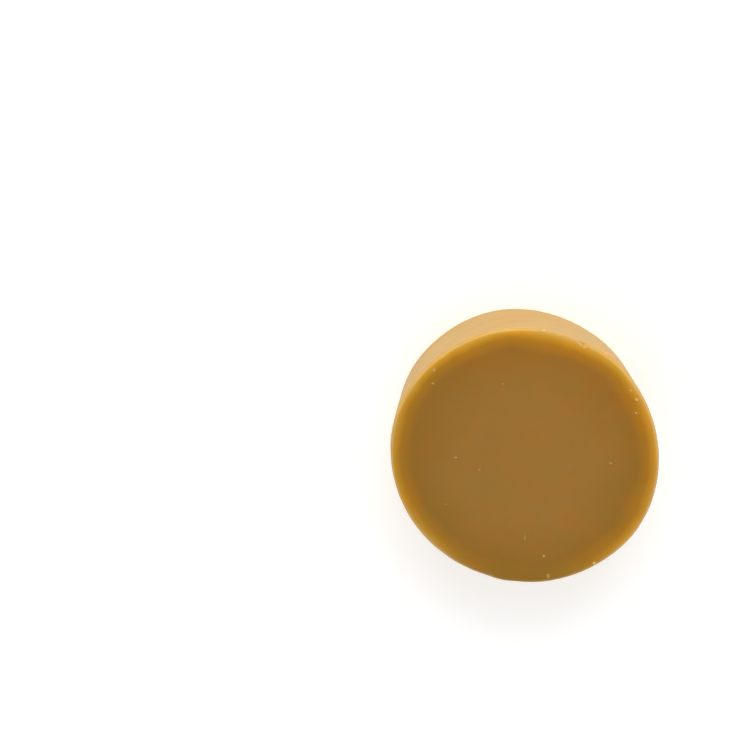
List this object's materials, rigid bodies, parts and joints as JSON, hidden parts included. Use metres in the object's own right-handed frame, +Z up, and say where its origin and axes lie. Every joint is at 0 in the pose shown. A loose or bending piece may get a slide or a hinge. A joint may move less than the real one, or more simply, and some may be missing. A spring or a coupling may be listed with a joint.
{
  "type": "shaving soap puck",
  "caption": "Solid round puck of hard shaving soap with softly rounded rims, made to lie flat in a shaving mug, bowl or dish and be lathered with a wet brush.",
  "frame": {"origin": "centre of the underside, on the surface that the puck lies on", "axes": "+Z up the puck's axis, from the underside to the open face that the brush works on; X and Y lie across the puck"},
  "size_m": [0.075, 0.075, 0.0285],
  "materials": {
    "soap": "satin amber-tan soap, waxy and a little translucent at its edges, with a paler matte side wall"
  },
  "bodies": {
    "root": {"soap_puck": "soap"}
  },
  "joints": []
}
